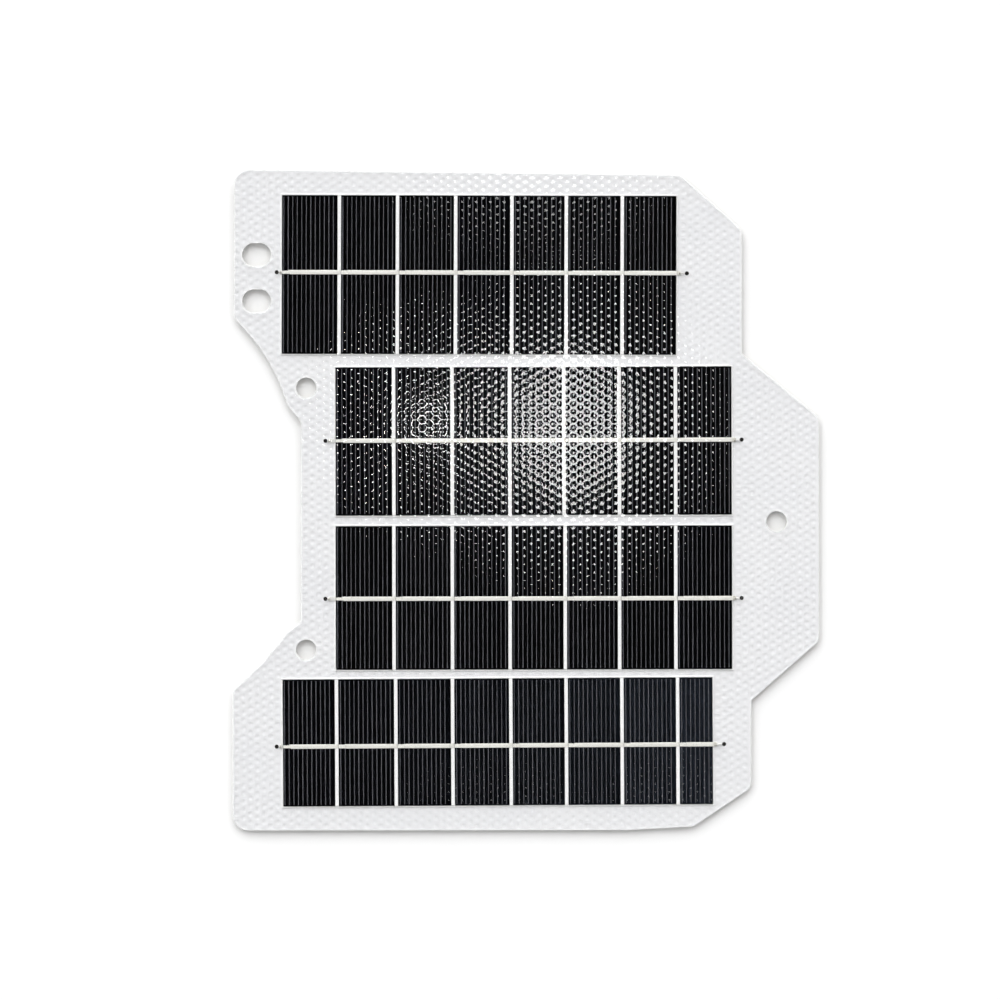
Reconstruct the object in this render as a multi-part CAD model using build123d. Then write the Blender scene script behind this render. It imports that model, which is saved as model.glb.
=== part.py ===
from build123d import *
from math import atan2, degrees
import os

# Flexible solar sheet: four rows of narrow solar cells on a thin white board, laminated between a clear
# embossed front film and a white rear film. The sheet lies face up. X runs along the rows, Y runs up
# the sheet and Z is 0 on its rear face. The origin is the middle of its outline. Lengths are in mm.

# ---- layer thicknesses, from the rear face up
REAR_FILM_T = 0.2
REAR_ENCAPSULANT_T = 0.45
BOARD_T = 0.8
MIDDLE_ENCAPSULANT_T = 0.3
FRONT_ENCAPSULANT_T = 0.55
FRONT_FILM_T = 0.2

# ---- heights of the layers' lower faces
REAR_ENCAPSULANT_Z = REAR_FILM_T
BOARD_Z = REAR_ENCAPSULANT_Z + REAR_ENCAPSULANT_T
MIDDLE_ENCAPSULANT_Z = BOARD_Z + BOARD_T
CELL_Z = MIDDLE_ENCAPSULANT_Z + MIDDLE_ENCAPSULANT_T
FRONT_FILM_Z = CELL_Z + FRONT_ENCAPSULANT_T

# ---- outline: corner x, corner y, corner radius, anticlockwise from the top left
HALF_WIDTH = 107.0
UPPER_LEFT_X = -106.5
NOTCH_X = -82.0
UPPER_RIGHT_X = 78.8
LOWER_RIGHT_X = 82.3
OUTLINE = [
    (UPPER_LEFT_X, 120.7, 5.5),
    (UPPER_LEFT_X, 66.6, 4.0),
    (-93.0, 51.6, 68.0),
    (-86.8, 34.4, 6.0),
    (NOTCH_X, 28.6, 3.0),
    (NOTCH_X, -44.3, 2.0),
    (-87.0, -48.3, 8.0),
    (-97.0, -60.4, 30.0),
    (-HALF_WIDTH, -69.5, 4.5),
    (-HALF_WIDTH, -120.7, 5.8),
    (38.0, -120.5, 60.0),
    (61.3, -119.2, 3.0),
    (LOWER_RIGHT_X, -105.0, 4.0),
    (LOWER_RIGHT_X, -73.1, 0.8),
    (HALF_WIDTH, -51.5, 4.0),
    (HALF_WIDTH, 30.2, 4.0),
    (UPPER_RIGHT_X, 53.5, 0.8),
    (UPPER_RIGHT_X, 98.6, 3.0),
    (56.5, 118.7, 3.0),
]

# ---- fixing holes
FIXING_HOLE_D = 7.5
LEFT_HOLES_X = -80.2
LEFT_HOLES_Y = (41.0, -54.7)
RIGHT_HOLE = (91.6, -7.8)
SLOT_PUNCH_D = 8.6          # each slot is two overlapping round punches
SLOT_PUNCH_SHIFT = 2.0
SLOTS_X = -98.3
SLOTS_Y = (89.6, 72.7)

# ---- cells and rows
CELL_T = 0.2
CELL_GAP = 1.35
# Per row: x of the first cell's left edge, y of the ribbon's centre line there, how far the cells reach
# above and below that line, tilt in degrees, distance from the row's ends to the left and right wire
# holes, and the cells' widths.
ROWS = [
    (-89.0, 83.25, 28.1, 29.75, -0.15, 2.0, 4.0, (20.2, 19.9, 19.9, 19.2, 18.5, 19.1, 19.0)),
    (-69.4, 21.65, 26.7, 27.3, 0.17, 3.8, 3.8, (20.5, 20.0, 19.7, 18.4, 18.9, 19.2, 19.7)),
    (-69.3, -36.1, 26.45, 25.85, 0.12, 3.9, 3.6, (20.5, 20.0, 19.7, 18.8, 18.5, 19.2, 19.8)),
    (-88.6, -90.1, 24.4, 21.8, 0.33, 2.4, 4.25, (18.9, 20.3, 19.4, 19.9, 18.9, 19.0, 19.0, 12.0)),
]

# ---- tabbing ribbons
RIBBON_W = 1.6
RIBBON_T = 0.15
FRONT_INSET = 2.2           # the front ribbon starts this far inside a cell's left edge
REAR_INSET = 2.5            # the rear ribbon stops this far inside a cell's right edge
END_SLANT = 0.5             # the front ribbon's end is cut at an angle
BEND_MARGIN = 0.15          # from a cell's edge to the ribbon's bend beside it
RIGHT_TAIL = 1.7            # from the last cell's right edge to the end of the ribbon
RIGHT_TAIL_DROP = 0.7       # from the last cell's right edge to the foot of the ribbon's bend

# ---- lead wires and their holes
WIRE_HOLE_D = 1.5
WIRE_D = 0.4
WIRE_LIFT = 0.03            # solder under the wire, where it lies over a tail
WIRE_BEND_R = 0.45
TAIL_TO_HOLE = 0.2          # gap between a left tail's end and the rim of its wire hole
WIRE_ON_TAIL = 0.8          # length of wire soldered onto a tail
SOLDER_L, SOLDER_W, SOLDER_H = 0.7, 1.1, 0.46
SOLDER_TAPER = 18           # degrees
PLUG_D, PLUG_H = 1.4, 0.25  # the solder round a wire's lower end, inside its hole

# ---- rear wiring
BUS_W = 2.5
BUS_T = 0.2
BUS_Z = BOARD_Z - BUS_T
BUS_OVERRUN = 1.5           # a bus ribbon runs this far past a wire hole's centre
BUS_Y = (51.0, -7.5, -63.5)  # where the three bus ribbons cross the sheet, between the rows
OUTPUT_TOP_Y = 97.0
OUTPUT_BESIDE_ROW1_X = 68.0
OUTPUT_DIAGONAL_Y = 58.0
OUTPUT_X = 84.5
OUTPUT_BESIDE_ROW4_Y = -76.0
PAD_X = 92.0
PAD_Y = {"positive": 21.0, "negative": 12.0}
PAD_L, PAD_W = 7.0, 5.0
WINDOW_L, WINDOW_W, WINDOW_R = 10.0, 17.0, 1.5


class Row:
    """One row of cells. Its own frame starts at the first cell's left edge, on the ribbon's line."""

    def __init__(self, number, left, ribbon_y, above, below, tilt, left_hole, right_hole, widths):
        self.name = f"row{number}"
        self.above, self.below, self.widths = above, below, widths
        self.place = Pos(left, ribbon_y, 0) * Rot(0, 0, tilt)
        self.starts = [sum(widths[:i]) + i * CELL_GAP for i in range(len(widths))]
        self.length = self.starts[-1] + widths[-1]
        self.left_hole, self.right_hole = -left_hole, self.length + right_hole

    def point(self, along):
        """The sheet's x and y of a point on the ribbon's line."""
        spot = (self.place * Pos(along, 0, 0)).position
        return spot.X, spot.Y

    def holes(self):
        return self.point(self.left_hole), self.point(self.right_hole)


def holed_outline():
    """The sheet's outline with its fixing holes and slots."""
    corners = [(x, y) for x, y, radius in OUTLINE]
    face = make_face(FilletPolyline(*corners, radius=[radius for x, y, radius in OUTLINE], close=True))
    centres = [(LEFT_HOLES_X, y) for y in LEFT_HOLES_Y] + [RIGHT_HOLE]
    face -= [Pos(x, y) * Circle(FIXING_HOLE_D / 2) for x, y in centres]
    for y in SLOTS_Y:
        for side in (-1, 1):
            face -= Pos(SLOTS_X + side * SLOT_PUNCH_SHIFT / 2, y) * Circle(SLOT_PUNCH_D / 2)
    return face


def wire_holes(rows):
    """Discs where the lead wires pass the board."""
    return [Pos(*hole) * Circle(WIRE_HOLE_D / 2) for row in rows for hole in row.holes()]


def layer(face, z, thickness):
    return Pos(0, 0, z) * extrude(face, thickness)


def cell(row, start, width):
    """One cell, cut as a strip of a wafer."""
    middle_y = (row.above - row.below) / 2
    body = Box(width, row.above + row.below, CELL_T, align=(Align.MIN, Align.CENTER, Align.MIN))
    return row.place * Pos(start, middle_y, CELL_Z) * body


def ribbon(row, section, slanted_start=None):
    """A flat ribbon with the given side view, a list of (x, z) corners in the row's frame."""
    side_view = make_face(Plane.XZ * Polyline(*section, close=True))
    body = extrude(side_view, RIBBON_W / 2, both=True)
    if slanted_start is not None:
        half = RIBBON_W / 2
        end = (slanted_start, slanted_start + END_SLANT)
        wedge = make_face(Polyline((end[0], half), (end[0], -half), (end[1], -half), close=True))
        body -= layer(wedge, CELL_Z, FRONT_ENCAPSULANT_T)
    return row.place * body


def interconnect(row, start, width, next_width):
    """The ribbon from one cell's front, down through the gap, to the rear of the next cell."""
    top, low = CELL_Z + CELL_T, CELL_Z - RIBBON_T
    begin, edge = start + FRONT_INSET, start + width
    next_start = edge + CELL_GAP
    bend, foot = edge + BEND_MARGIN, next_start - BEND_MARGIN
    stop = next_start + next_width - REAR_INSET
    section = [
        (begin, top), (begin, top + RIBBON_T), (bend, top + RIBBON_T), (foot, CELL_Z),
        (stop, CELL_Z), (stop, low), (foot, low), (bend, top),
    ]
    return ribbon(row, section, begin)


def left_tail_end(row):
    return row.left_hole + WIRE_HOLE_D / 2 + TAIL_TO_HOLE


def left_end_ribbon(row):
    """The ribbon under the first cell, with a short tail towards the left wire hole."""
    start, stop = left_tail_end(row), row.widths[0] - REAR_INSET
    low = CELL_Z - RIBBON_T
    return ribbon(row, [(start, low), (start, CELL_Z), (stop, CELL_Z), (stop, low)])


def right_end_ribbon(row):
    """The ribbon on the last cell, bent down past its edge into a short tail."""
    top, low = CELL_Z + CELL_T, CELL_Z - RIBBON_T
    begin, bend = row.starts[-1] + FRONT_INSET, row.length + BEND_MARGIN
    foot, stop = row.length + RIGHT_TAIL_DROP, row.length + RIGHT_TAIL
    section = [
        (begin, top), (begin, top + RIBBON_T), (bend, top + RIBBON_T), (foot, CELL_Z),
        (stop, CELL_Z), (stop, low), (foot, low), (bend, top),
    ]
    return ribbon(row, section, begin)


def lead_wire(row, start, hole):
    """A wire that lies on a tail, runs to the wire hole and bends down it to the bus ribbon."""
    level = CELL_Z + WIRE_LIFT + WIRE_D / 2
    path = Plane.XZ * FilletPolyline((start, level), (hole, level), (hole, BOARD_Z), radius=WIRE_BEND_R)
    section = Plane(path @ 0, z_dir=path % 0) * Circle(WIRE_D / 2)
    return row.place * sweep(section, path)


def tail_solder(row, middle, wire):
    """The solder that holds a lead wire on its tail."""
    block = extrude(Rectangle(SOLDER_L, SOLDER_W), SOLDER_H, taper=SOLDER_TAPER)
    return row.place * Pos(middle, 0, CELL_Z) * block - wire


def hole_solder(row, hole, wire):
    """The solder that joins a wire's lower end to the bus ribbon, inside the wire hole."""
    plug = Cylinder(PLUG_D / 2, PLUG_H, align=(Align.CENTER, Align.CENTER, Align.MIN))
    return row.place * Pos(hole, 0, BOARD_Z) * plug - wire


def flat_run(points):
    """A bus ribbon against the board's rear, along straight runs through the given points."""
    face = None
    for (x0, y0), (x1, y1) in zip(points, points[1:]):
        span = Vector(x1 - x0, y1 - y0)
        middle = Pos((x0 + x1) / 2, (y0 + y1) / 2)
        run = middle * Rot(0, 0, degrees(atan2(span.Y, span.X))) * Rectangle(span.length, BUS_W)
        face = run if face is None else face + run
    for x, y in points[1:-1]:
        face += Pos(x, y) * Circle(BUS_W / 2)
    return layer(face, BUS_Z, BUS_T)


def bus_ribbon(upper_row, lower_row, crossing_y):
    """Joins the right end of one row to the left end of the next, behind the board."""
    (right_x, right_y), (left_x, left_y) = upper_row.holes()[1], lower_row.holes()[0]
    return flat_run([
        (right_x, right_y + BUS_OVERRUN), (right_x, crossing_y),
        (left_x, crossing_y), (left_x, left_y - BUS_OVERRUN),
    ])


def output_ribbon(sign, rows):
    """Runs from the first or last wire hole of the chain of rows to its output pad."""
    pad_edge = (PAD_X - PAD_L / 2, PAD_Y[sign])
    turn = (OUTPUT_X, PAD_Y[sign])
    if sign == "positive":
        x, y = rows[0].holes()[0]
        diagonal_x = OUTPUT_X - OUTPUT_BESIDE_ROW1_X
        return flat_run([
            (x, y - BUS_OVERRUN), (x, OUTPUT_TOP_Y), (OUTPUT_BESIDE_ROW1_X, OUTPUT_TOP_Y),
            (OUTPUT_BESIDE_ROW1_X, OUTPUT_DIAGONAL_Y), (OUTPUT_X, OUTPUT_DIAGONAL_Y - diagonal_x),
            turn, pad_edge,
        ])
    x, y = rows[-1].holes()[1]
    return flat_run([
        (x, y - BUS_OVERRUN), (x, OUTPUT_BESIDE_ROW4_Y),
        (OUTPUT_X, OUTPUT_BESIDE_ROW4_Y + OUTPUT_X - x), turn, pad_edge,
    ])


def output_pad(sign):
    """A bare tinned pad on the board's rear, where the user's wire is soldered."""
    return layer(Pos(PAD_X, PAD_Y[sign]) * Rectangle(PAD_L, PAD_W), BUS_Z, BUS_T)


def pad_window():
    """The opening in the rear layers over both pads."""
    middle = (PAD_Y["positive"] + PAD_Y["negative"]) / 2
    return Pos(PAD_X, middle) * RectangleRounded(WINDOW_L, WINDOW_W, WINDOW_R)


def build():
    """Every node's name with its list of solids."""
    rows = [Row(number, *values) for number, values in enumerate(ROWS, 1)]
    parts = {}
    left_wires, right_wires, on_tails, in_holes = [], [], [], []
    for row in rows:
        for i, (start, width) in enumerate(zip(row.starts, row.widths), 1):
            parts[f"cell_{row.name}_col{i}"] = [cell(row, start, width)]
        pairs = zip(row.starts, row.widths, row.widths[1:])
        parts[f"tabbing_ribbons_{row.name}"] = [interconnect(row, *pair) for pair in pairs]
        parts[f"left_end_ribbon_{row.name}"] = [left_end_ribbon(row)]
        parts[f"right_end_ribbon_{row.name}"] = [right_end_ribbon(row)]
        ends = (
            (left_wires, left_tail_end(row), 1, row.left_hole),
            (right_wires, row.length + RIGHT_TAIL, -1, row.right_hole),
        )
        for wires, tail_end, inward, hole in ends:
            wire = lead_wire(row, tail_end + inward * WIRE_ON_TAIL, hole)
            wires.append(wire)
            on_tails.append(tail_solder(row, tail_end + inward * WIRE_ON_TAIL / 2, wire))
            in_holes.append(hole_solder(row, hole, wire))
    parts["left_lead_wires"] = left_wires
    parts["right_lead_wires"] = right_wires
    parts["tail_solder_joints"] = on_tails
    parts["wire_hole_solder_joints"] = in_holes
    strung = [solid for solids in parts.values() for solid in solids]

    rear_wiring = {}
    for i, crossing_y in enumerate(BUS_Y):
        upper, lower = rows[i], rows[i + 1]
        rear_wiring[f"bus_ribbon_{upper.name}_to_{lower.name}"] = [bus_ribbon(upper, lower, crossing_y)]
    for sign in PAD_Y:
        rear_wiring[f"output_ribbon_{sign}"] = [output_ribbon(sign, rows)]
        rear_wiring[f"output_pad_{sign}"] = [output_pad(sign)]
    parts.update(rear_wiring)
    wiring = [solid for solids in rear_wiring.values() for solid in solids]

    sheet = holed_outline()
    drilled = sheet - wire_holes(rows)
    windowed = sheet - pad_window()
    parts["rear_film"] = [layer(windowed, 0, REAR_FILM_T)]
    parts["rear_encapsulant"] = [layer(windowed, REAR_ENCAPSULANT_Z, REAR_ENCAPSULANT_T) - wiring]
    parts["core_board"] = [layer(drilled, BOARD_Z, BOARD_T)]
    parts["middle_encapsulant"] = [layer(drilled, MIDDLE_ENCAPSULANT_Z, MIDDLE_ENCAPSULANT_T) - strung]
    parts["front_encapsulant"] = [layer(sheet, CELL_Z, FRONT_ENCAPSULANT_T) - strung]
    parts["front_film"] = [layer(sheet, FRONT_FILM_Z, FRONT_FILM_T)]
    return parts


def write(parts):
    os.makedirs("parts", exist_ok=True)
    for name, shapes in parts.items():
        solids = [solid for shape in shapes for solid in shape.solids()]
        export_step(Compound(solids), f"parts/{name}.step")


write(build())
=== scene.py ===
from math import copysign, cos, pi, radians, sin

import bmesh
import bpy
import numpy as np
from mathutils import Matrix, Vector, noise
from mathutils.bvhtree import BVHTree
from mathutils.geometry import delaunay_2d_cdt

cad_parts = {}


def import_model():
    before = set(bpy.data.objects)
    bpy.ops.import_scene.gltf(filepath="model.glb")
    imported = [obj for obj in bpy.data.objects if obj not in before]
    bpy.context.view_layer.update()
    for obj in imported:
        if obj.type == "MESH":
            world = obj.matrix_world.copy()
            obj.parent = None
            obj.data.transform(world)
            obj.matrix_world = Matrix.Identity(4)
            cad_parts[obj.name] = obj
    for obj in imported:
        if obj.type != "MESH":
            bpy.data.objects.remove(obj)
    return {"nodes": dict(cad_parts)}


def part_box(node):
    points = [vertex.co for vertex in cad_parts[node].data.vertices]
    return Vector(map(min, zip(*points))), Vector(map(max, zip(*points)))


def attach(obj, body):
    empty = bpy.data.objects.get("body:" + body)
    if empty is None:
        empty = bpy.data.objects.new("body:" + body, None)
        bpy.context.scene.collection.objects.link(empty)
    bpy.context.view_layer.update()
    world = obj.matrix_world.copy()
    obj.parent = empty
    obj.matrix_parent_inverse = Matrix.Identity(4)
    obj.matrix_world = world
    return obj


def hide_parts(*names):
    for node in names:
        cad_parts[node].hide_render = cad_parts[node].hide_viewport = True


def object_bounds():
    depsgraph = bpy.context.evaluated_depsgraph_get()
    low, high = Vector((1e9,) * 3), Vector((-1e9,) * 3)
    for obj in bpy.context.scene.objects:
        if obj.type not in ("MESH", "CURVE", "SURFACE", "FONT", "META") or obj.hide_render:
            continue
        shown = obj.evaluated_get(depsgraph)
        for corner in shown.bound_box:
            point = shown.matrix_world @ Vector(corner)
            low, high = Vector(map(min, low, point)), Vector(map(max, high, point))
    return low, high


# The flexible solar sheet's looks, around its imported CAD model: the embossed front film, the clear
# layers, the cells' printed silver, the ribbons and solder, the ridged rear film, and the studio.
# Sizes are in mm, apart from the studio's, and become metres where a mesh is made.

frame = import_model()
CAD_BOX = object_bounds()
NODES = frame["nodes"]
SCENE = bpy.context.scene
MM = 0.001
rng = np.random.default_rng(20)

ROW_NUMBERS = (1, 2, 3, 4)
BOARD_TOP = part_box("core_board")[1].z / MM
WELD = 1e-7  # CAD corners nearer than this, in metres, are one
SAME_DIGITS = 5  # places that agree to this many digits are one

# ---- front film's emboss: round dimples in a honeycomb
DIMPLE_PITCH = 2.97  # along Y
COLUMN_PITCH = 2.51  # along X, every second column half a pitch up
DIMPLE_AT = (7.37, 41.17)
DIMPLE_RADII = (0.0, 0.38, 0.85, 1.12, 1.26)
DIMPLE_SLOPES = (0.0, 1.5, 2.8, 1.6, 0.0)  # degrees at those radii
PROFILE_POINTS = 200
RING_RADII, RING_SIDES = DIMPLE_RADII[3:0:-1], 12
BORDER = 0.15  # a dimple nearer the rounded edge than this is cut by it
EDGE_ROUND, EDGE_DROP, EDGE_LEAN = 0.45, 0.12, 55.0  # the edge's width, fall and final slope
PRINT_THROUGH = 0.09  # how deeply the honeycomb shows in the white board under it
# the gloss is stronger than a bare film's, under softboxes dimmed to suit, so that it renders cleanly
FILM_INDEX, FILM_ROUGHNESS = 1.80, 0.06

# ---- clear layers
CLEAR_SHRINK = 0.02  # the soft layers' gap to what they touch, so that no two faces coincide
ROW_SURROUND = 5.5  # pockets and wire holes lie within this distance of a row
MILKINESS = 0.0001  # how much light a clear face scatters
CUT_ALPHA, PRESSED_ALPHA = 0.12, 0.2  # how opaque the cut walls and the film's pressed edge are

# ---- cells: a blue cast grows along one row to its last cell
BLUE_ROW, BLUE_COLUMN = 4, 8
BLUE_CAST, BLUE_CAST_POWER = np.array([0.0075, 0.0095, 0.0136]), 2.3

# ---- silver print on the cells
FINGER_PITCH, FINGER_FIRST, FINGER_W, FINGER_H = 1.65, 0.65, 0.30, 0.012
FINGER_LAST = 0.5  # least distance from the last finger to the cell's right edge
FINGER_MARGIN = 0.45  # from a finger's end to the cell's edge
FINGER_SHIFT, FINGER_UNEVEN, FINGER_TOP = 0.12, (0.85, 1.15), 0.6
STRIP_START, STRIP_END, STRIP_H = 0.05, 3.0, 0.014
STRIP_INSET = 0.08  # the strip is narrower than the ribbon by this on each side
FIRST_STRIP_THINNER = 3  # times that on a row's first cell
STRIP_STEPS, STRIP_UPPER, STRIP_LOWER = 14, (-0.14, 0.04), (-0.04, 0.04)  # its ragged sides

# ---- milky beads of encapsulant between and round the cells
BEAD_W, BEAD_GAP, BEAD_H = 0.55, 0.05, 0.19
EDGE_BEAD_H = 0.28  # round a row the bead is this high, on the board
BEAD_CROWN = ((-0.5, 0.0), (0.5, 0.0), (0.5, 0.7), (0.25, 1.0), (-0.25, 1.0), (-0.5, 0.7))

# ---- ribbons
RIBBON_STEP, END_RIBBON_STEP = 0.8, 0.35  # from ring to ring along them
SECTION_SIDES, SECTION_POWERS = 20, (0.28, 0.75)
SAME_STATION = 0.006  # CAD corners this near along a row are at one station
LEAST_THICKNESS = 0.01
BEND_RINGS, BEND_SOFTENING = (-0.12, -0.04, 0.04, 0.12), 0.1
END_WIDTH, END_RUN = 0.94, 0.3  # a ribbon's end is narrower, over this length
EDGE_WOBBLE, EDGE_SLACK = 0.03, 0.02  # its uneven edges, and the width they leave free
SLANT, SLANT_RUN = 0.5, 1.5  # how far a slanted end leans, and fades out
TAIL_STARTS = {"left": 0.2, "right": 0.35}  # a stained tail starts this far from the cells

# ---- solder, and near-black flux in the wire holes, which also paints the shade down them
LUMP_LEVELS, LUMP_SIDES, LUMP_RAGGED = 7, 18, 0.16
LUMP_SPREAD, LUMP_H = (1.05, 1.02), 0.96  # shares of the CAD joint's box
WIRE_HOLES = "wire_hole_solder_joints"
DARK_CUP_R, DARK_CUP_BELOW = 0.73, 0.1  # its radius, and how far it stays below the board's face
DARK_CUP_SIDES, DARK_CUP_RAGGED = 24, 0.04
# a lead wire is painted black, as the shade down its hole, within the first distance of its hole's
# middle, and clean beyond the second
WIRE_BLACK = (0.70, 0.95)

# ---- rear film and pads
RIDGE_H, RIDGE_RUN = 0.09, 1.6
REAR_FINE, REAR_COARSE, REAR_NEAR = 0.8, 8.0, 2.6  # steps near the wiring and far from it
REAR_SHARP = 30.0  # degrees
PAD_SEEDS = {"positive": 1.3, "negative": 7.9}
PAD_SIDES, PAD_CORNER, PAD_RIPPLE = 48, 0.25, 0.008
# the rings of a pad's tinning: how far each is drawn in, and its height over the pad's rear face
PAD_RINGS = ((0.0, 0.03), (0.05, 0.0), (0.25, -0.05), (0.8, -0.13), (1.5, -0.17), (2.2, -0.18))

# ---- studio, in metres
FLOOR_SIZE, FLOOR_BELOW = 6.0, 0.0001
FRAME_W = 0.365  # across the picture at the sheet
VIEW_X, VIEW_Y = -0.0094, 0.0002
VIEW_HEIGHT = 0.9
SENSOR, CLIP = 36.0, (0.01, 20)
CLEAR_FACES_CROSSED = 32  # a ray may cross the stack of clear layers this many times
KEY_STRENGTH, FILL_STRENGTH, KEY_SPREAD = 6.2, 0.9, 4.0
KEY_FROM = (-0.25, 0.97)  # X and Y of the direction where the walls are brightest
DARK_OVERHEAD = (0.90, 0.72)  # the light fades out between these Z of a unit direction
# each softbox: name, radiance, x, y, width, depth
# they hang at the camera's height, each one mm below the one before
SOFTBOXES = (
    ("main_softbox", 8.5, 0.042, 0.053, 0.076, 0.104),
    ("small_softbox", 20.0, -0.062, 0.058, 0.028, 0.028),
    ("upper_softbox", 3.5, 0.017, 0.280, 0.100, 0.056),
    ("lower_left_softbox", 1.1, -0.012, -0.284, 0.050, 0.030),
    ("lower_right_softbox", 1.2, 0.128, -0.280, 0.050, 0.034),
)


# ======== meshes ========

def placed(name, data):
    """A new object in the scene."""
    item = bpy.data.objects.new(name, data)
    SCENE.collection.objects.link(item)
    return item


def make_object(mesh, materials, slot, *replaced):
    """A piece of the sheet, riding on its one body, with its mesh's name."""
    piece = placed(mesh.name, mesh)
    for material in materials:
        mesh.materials.append(material)
    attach(piece, "root")
    if replaced:
        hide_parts(*replaced)
    return piece


def array_mesh(name, points, faces, normals=None, slots=None):
    """A mesh from points in mm and a list of face arrays, each of one corner count."""
    corners = np.concatenate([f.ravel() for f in faces])
    sizes = np.concatenate([np.full(len(f), f.shape[1]) for f in faces])
    mesh = bpy.data.meshes.new(name)
    mesh.vertices.add(len(points))
    mesh.vertices.foreach_set("co", (np.asarray(points) * MM).astype(np.float32).ravel())
    mesh.loops.add(len(corners))
    mesh.loops.foreach_set("vertex_index", corners.astype(np.int32))
    mesh.polygons.add(len(sizes))
    mesh.polygons.foreach_set("loop_start", (np.cumsum(sizes) - sizes).astype(np.int32))
    if slots is not None:
        mesh.polygons.foreach_set("material_index", slots.astype(np.int32))
    mesh.update(calc_edges=True)
    if normals is not None:
        mesh.normals_split_custom_set(normals)
    return mesh


def joined(name, parts, smooth=False):
    """One mesh from several (points, faces) pairs in mm."""
    points, faces = [], []
    for part_points, part_faces in parts:
        start = len(points)
        points += [Vector(p) * MM for p in part_points]
        faces += [[start + i for i in face] for face in part_faces]
    mesh = bpy.data.meshes.new(name)
    mesh.from_pydata(points, [], faces)
    if smooth:
        mesh.shade_smooth()
    return mesh


def turns(sides, way=1):
    """The cosine and sine at equal steps round a circle."""
    angles = [way * 2 * pi * i / sides for i in range(sides)]
    return [(cos(angle), sin(angle)) for angle in angles]


def signed_power(value, power):
    return copysign(abs(value) ** power, value)


def loft(rings):
    """A closed body through rings of equally many points."""
    sides = len(rings[0])
    points = [p for ring in rings for p in ring]
    faces = []
    for r in range(len(rings) - 1):
        for i in range(sides):
            j = (i + 1) % sides
            a, b = r * sides, (r + 1) * sides
            faces.append((a + i, a + j, b + j, b + i))
    faces.append(tuple(reversed(range(sides))))
    faces.append(tuple((len(rings) - 1) * sides + i for i in range(sides)))
    return points, faces


def corner_points(node):
    """A CAD node's welded corner points, in mm."""
    co = np.array([v.co for v in NODES[node].data.vertices]) / MM
    return np.unique(np.round(co, 4), axis=0)


def welded(node):
    """A CAD node's mesh, to work on, with its coincident corners joined."""
    mesh = bmesh.new()
    mesh.from_mesh(NODES[node].data)
    bmesh.ops.remove_doubles(mesh, verts=mesh.verts, dist=WELD)
    return mesh


def islands(node):
    """The welded corner points of each separate solid of a CAD node, in mm."""
    mesh = welded(node)
    left, found = set(mesh.verts), []
    while left:
        group, front = set(), [next(iter(left))]
        while front:
            vert = front.pop()
            if vert not in group:
                group.add(vert)
                front += [edge.other_vert(vert) for edge in vert.link_edges]
        left -= group
        found.append(np.array([v.co / MM for v in group]))
    mesh.free()
    return sorted(found, key=lambda points: points[:, 0].min())


def outline_loops(node):
    """The loops round a layer's upper face, in mm, with the layer on their left."""
    mesh = welded(node)
    top = max(v.co.z for v in mesh.verts)
    after = {}
    for face in mesh.faces:
        if face.normal.z > 0.9 and face.calc_center_median().z > top - 1e-6:
            for corner in face.loops:
                if corner.link_loop_radial_next.face.normal.z < 0.9:
                    after[corner.vert] = corner.link_loop_next.vert
    loops = []
    while after:
        start, vert = next(iter(after)), None
        loop = []
        while vert is not start:
            vert = after.pop(start if vert is None else vert)
            loop.append((vert.co.x / MM, vert.co.y / MM))
        loops.append(np.array(loop))
    mesh.free()
    return loops


def crossings(points, loops):
    """How many loops hold each point, by counting the edges to its right."""
    inside = np.zeros(len(points), int)
    for loop in loops:
        count = np.zeros(len(points), int)
        for (x0, y0), (x1, y1) in zip(loop, np.roll(loop, -1, axis=0)):
            between = (y0 > points[:, 1]) != (y1 > points[:, 1])
            if between.any():
                at = x0 + (points[:, 1] - y0) / (y1 - y0 or 1) * (x1 - x0)
                count += between & (points[:, 0] < at)
        inside += count % 2
    return inside


def loop_distance(points, loops):
    """The distance from each point to the nearest loop."""
    nearest = np.full(len(points), np.inf)
    for loop in loops:
        for a, b in zip(loop, np.roll(loop, -1, axis=0)):
            along = b - a
            share = np.clip((points - a) @ along / max(along @ along, 1e-12), 0, 1)
            gap = np.linalg.norm(points - a - share[:, None] * along, axis=1)
            nearest = np.minimum(nearest, gap)
    return nearest


def left_of(loop):
    """Unit directions to a loop's left at its corners, and how much each stretches an inset."""
    ahead = np.roll(loop, -1, axis=0) - loop
    ahead /= np.linalg.norm(ahead, axis=1)[:, None]
    along = ahead + np.roll(ahead, 1, axis=0)
    along /= np.linalg.norm(along, axis=1)[:, None]
    stretch = 1 / np.maximum((along * ahead).sum(axis=1), 0.5)
    return np.column_stack([-along[:, 1], along[:, 0]]), stretch


def inset(loop, distance):
    """A loop moved into the layer on its left."""
    left, stretch = left_of(loop)
    return loop + left * (distance * stretch)[:, None]


def ring_edges(sizes):
    """The edges round loops of the given sizes, numbered one after another."""
    edges, start = [], 0
    for size in sizes:
        edges += [(start + i, start + (i + 1) % size) for i in range(size)]
        start += size
    return edges


def triangles(points, edges, loops):
    """Triangles between points that keep the edges, inside an odd number of the loops."""
    flat = [Vector((float(x), float(y))) for x, y in points]
    result = delaunay_2d_cdt(flat, edges, [], 0, 1e-6)
    places, faces, origins = result[0], result[2], result[3]
    if len(places) != len(points):
        raise RuntimeError(f"the triangulation made {len(places)} points from {len(points)}")
    back = np.array([origin[0] for origin in origins])
    faces = back[np.array(faces)]
    xy = np.asarray(points)
    keep = crossings(xy[faces].mean(axis=1), loops) % 2 == 1
    faces = faces[keep]
    a, b, c = xy[faces[:, 0]], xy[faces[:, 1]], xy[faces[:, 2]]
    area = (b[:, 0] - a[:, 0]) * (c[:, 1] - a[:, 1]) - (b[:, 1] - a[:, 1]) * (c[:, 0] - a[:, 0])
    faces[area < 0] = faces[area < 0][:, ::-1]
    return faces


# ======== materials ========

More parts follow.
